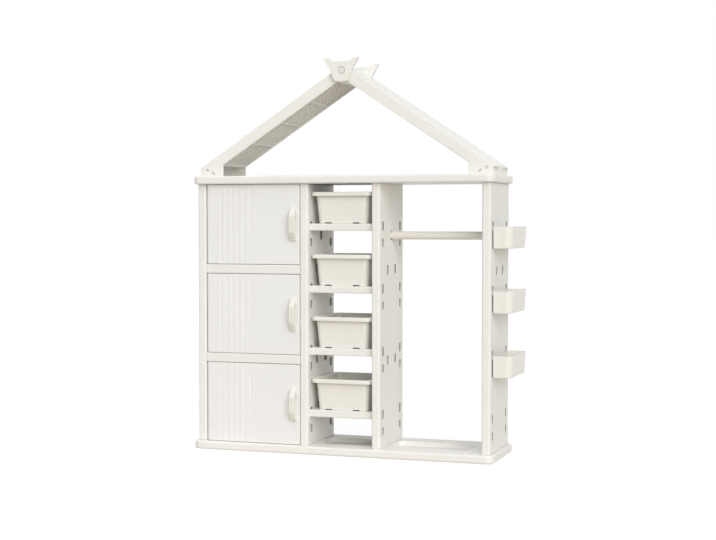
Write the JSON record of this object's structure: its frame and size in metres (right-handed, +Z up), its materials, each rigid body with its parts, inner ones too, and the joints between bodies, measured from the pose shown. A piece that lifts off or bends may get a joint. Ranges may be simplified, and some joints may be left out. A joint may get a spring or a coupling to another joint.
{
  "type": "children's dress-up storage unit",
  "caption": "Free-standing children's dress-up storage unit with a door cabinet, pull-out bins, a clothes rod, hang-on side bins and an open gabled roof.",
  "frame": {"origin": "middle of the base's flat underside", "axes": "+Z up, -Y towards the front where the doors open, +X to the right towards the side bins"},
  "size_m": [1.214, 0.334, 1.4482],
  "materials": {
    "cream_plastic": "satin, fine moulded grain",
    "bin_plastic": "satin",
    "rod_plastic": "satin",
    "steel": "plain zinc",
    "mirror": "mirror"
  },
  "bodies": {
    "frame": {"base_plinth": "cream_plastic", "left_upright": "cream_plastic", "cabinet_divider": "cream_plastic", "bay_divider": "cream_plastic", "right_upright": "cream_plastic", "top_board": "cream_plastic", "lower_cabinet_shelf": "cream_plastic", "upper_cabinet_shelf": "cream_plastic", "cabinet_back": "cream_plastic", "door_catches": "cream_plastic", "bin_shelf_1": "cream_plastic", "bin_shelf_2": "cream_plastic", "bin_shelf_3": "cream_plastic", "bin_shelf_4": "cream_plastic", "left_rod_plug": "cream_plastic", "right_rod_plug": "cream_plastic", "left_roof_panel": "cream_plastic", "right_roof_panel": "cream_plastic", "front_ridge_bracket": "cream_plastic", "rear_ridge_bracket": "cream_plastic", "screw_caps": "cream_plastic", "clothes_rod": "rod_plastic", "bottom_hinge_pins": "steel", "middle_hinge_pins": "steel", "top_hinge_pins": "steel", "ridge_bolt": "steel", "ridge_nut": "steel", "roof_foot_screws": "steel", "base_screws": "steel", "top_screws": "steel", "mirror_sheet": "mirror"},
    "bottom_door_leaf": {"bottom_door": "cream_plastic", "bottom_handle": "cream_plastic", "bottom_handle_screws": "steel", "bottom_strike_plate": "steel"},
    "middle_door_leaf": {"middle_door": "cream_plastic", "middle_handle": "cream_plastic", "middle_handle_screws": "steel", "middle_strike_plate": "steel"},
    "top_door_leaf": {"top_door": "cream_plastic", "top_handle": "cream_plastic", "top_handle_screws": "steel", "top_strike_plate": "steel"},
    "bin_1": {"toy_bin_1": "bin_plastic"},
    "bin_2": {"toy_bin_2": "bin_plastic"},
    "bin_3": {"toy_bin_3": "bin_plastic"},
    "bin_4": {"toy_bin_4": "bin_plastic"},
    "lower_side_bin_body": {"lower_side_bin": "bin_plastic"},
    "middle_side_bin_body": {"middle_side_bin": "bin_plastic"},
    "upper_side_bin_body": {"upper_side_bin": "bin_plastic"}
  },
  "joints": [
    {"name": "bottom_door_hinge", "type": "hinge", "parent": "frame", "child": "bottom_door_leaf", "pos_m": [-0.518, -0.133, 0.179], "axis": [0, 0, -1], "range_deg": [0, 105]},
    {"name": "middle_door_hinge", "type": "hinge", "parent": "frame", "child": "middle_door_leaf", "pos_m": [-0.518, -0.133, 0.511], "axis": [0, 0, -1], "range_deg": [0, 105]},
    {"name": "top_door_hinge", "type": "hinge", "parent": "frame", "child": "top_door_leaf", "pos_m": [-0.518, -0.133, 0.843], "axis": [0, 0, -1], "range_deg": [0, 105]},
    {"name": "bin_1_slide", "type": "slide", "parent": "frame", "child": "bin_1", "axis": [0, -1, 0], "range_m": [0, 0.2]},
    {"name": "bin_2_slide", "type": "slide", "parent": "frame", "child": "bin_2", "axis": [0, -1, 0], "range_m": [0, 0.2]},
    {"name": "bin_3_slide", "type": "slide", "parent": "frame", "child": "bin_3", "axis": [0, -1, 0], "range_m": [0, 0.2]},
    {"name": "bin_4_slide", "type": "slide", "parent": "frame", "child": "bin_4", "axis": [0, -1, 0], "range_m": [0, 0.2]},
    {"name": "lower_side_bin_lift", "type": "slide", "parent": "frame", "child": "lower_side_bin_body", "axis": [0, 0, 1], "range_m": [0, 0.012]},
    {"name": "middle_side_bin_lift", "type": "slide", "parent": "frame", "child": "middle_side_bin_body", "axis": [0, 0, 1], "range_m": [0, 0.012]},
    {"name": "upper_side_bin_lift", "type": "slide", "parent": "frame", "child": "upper_side_bin_body", "axis": [0, 0, 1], "range_m": [0, 0.012]}
  ]
}
